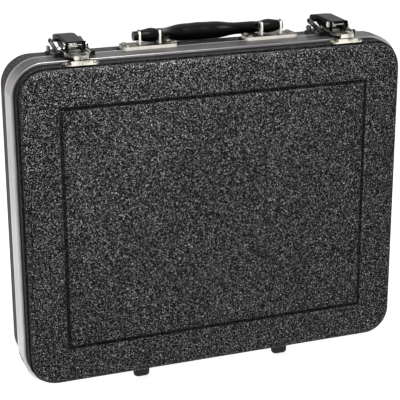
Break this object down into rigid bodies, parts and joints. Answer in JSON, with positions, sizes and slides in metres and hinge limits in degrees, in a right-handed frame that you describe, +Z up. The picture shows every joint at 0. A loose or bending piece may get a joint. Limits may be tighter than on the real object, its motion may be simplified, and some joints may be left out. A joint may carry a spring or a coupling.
{
  "type": "harmonica case",
  "caption": "Hard-shell instrument case with a hinged lid, metal valances, draw latches, a folding handle, feet and slotted foam.",
  "frame": {"origin": "on the floor, below the middle of the whole as it stands on its feet with the grip down", "axes": "+X to the right as seen from the lid side, +Y from the lid to the base, +Z up towards the handle"},
  "size_m": [0.38, 0.0885, 0.3373],
  "materials": {
    "shell": "pebbled black",
    "valance": "extruded, satin",
    "foam": "charcoal foam",
    "foot": "black",
    "screw": "zinc plated",
    "rivet": "nickel plated",
    "latch": "nickel plated",
    "hinge": "nickel plated",
    "bracket": "nickel plated",
    "grip": "black, soft sheen",
    "handle_pin": "black"
  },
  "bodies": {
    "case_base": {"base_feet": "foot", "base_foam": "foam", "base_foot_screws": "screw", "base_hinge_rivets": "rivet", "base_shell": "shell", "base_valance": "valance", "handle_backing_plates": "hinge", "handle_rivets": "rivet", "latch_rivets": "rivet", "left_handle_bracket": "bracket", "left_handle_pin": "handle_pin", "left_hinge_base_leaf": "hinge", "left_hinge_pin": "hinge", "left_latch_pivot_pin": "latch", "left_latch_plate": "latch", "left_latch_stop_bar": "latch", "right_handle_bracket": "bracket", "right_handle_pin": "handle_pin", "right_hinge_base_leaf": "hinge", "right_hinge_pin": "hinge", "right_latch_pivot_pin": "latch", "right_latch_plate": "latch", "right_latch_stop_bar": "latch"},
    "handle": {"handle_grip": "grip"},
    "left_lever": {"left_latch_lever": "latch", "left_latch_link_pin": "latch"},
    "right_lever": {"right_latch_lever": "latch", "right_latch_link_pin": "latch"},
    "left_link": {"left_latch_link": "latch"},
    "right_link": {"right_latch_link": "latch"},
    "lid": {"lid_shell": "shell", "lid_valance": "valance", "lid_foam": "foam", "lid_feet": "foot", "lid_foot_screws": "screw", "keeper_rivets": "rivet", "lid_hinge_rivets": "rivet", "left_latch_keeper": "latch", "right_latch_keeper": "latch", "left_hinge_lid_leaf": "hinge", "right_hinge_lid_leaf": "hinge"}
  },
  "joints": [
    {"name": "lid_hinge", "type": "hinge", "parent": "case_base", "child": "lid", "pos_m": [0, -0.0163, 0.0071], "axis": [1, 0, 0], "range_deg": [0, 100]},
    {"name": "handle_pivot", "type": "hinge", "parent": "case_base", "child": "handle", "pos_m": [0.008, 0.0012, 0.3309], "axis": [1, 0, 0], "range_deg": [0, 187]},
    {"name": "left_lever_pivot", "type": "hinge", "parent": "case_base", "child": "left_lever", "pos_m": [-0.127, -0.0154, 0.3307], "axis": [1, 0, 0], "range_deg": [0, 95]},
    {"name": "left_link_pivot", "type": "hinge", "parent": "left_lever", "child": "left_link", "pos_m": [-0.127, -0.0044, 0.3254], "axis": [1, 0, 0], "range_deg": [-108, 0]},
    {"name": "right_lever_pivot", "type": "hinge", "parent": "case_base", "child": "right_lever", "pos_m": [0.1315, -0.0154, 0.3307], "axis": [1, 0, 0], "range_deg": [0, 95]},
    {"name": "right_link_pivot", "type": "hinge", "parent": "right_lever", "child": "right_link", "pos_m": [0.1315, -0.0044, 0.3254], "axis": [1, 0, 0], "range_deg": [-108, 0]}
  ],
  "couplings": [
    {"joint": "left_link_pivot", "follows": "left_lever_pivot", "ratio": -1.126},
    {"joint": "right_link_pivot", "follows": "right_lever_pivot", "ratio": -1.126}
  ]
}
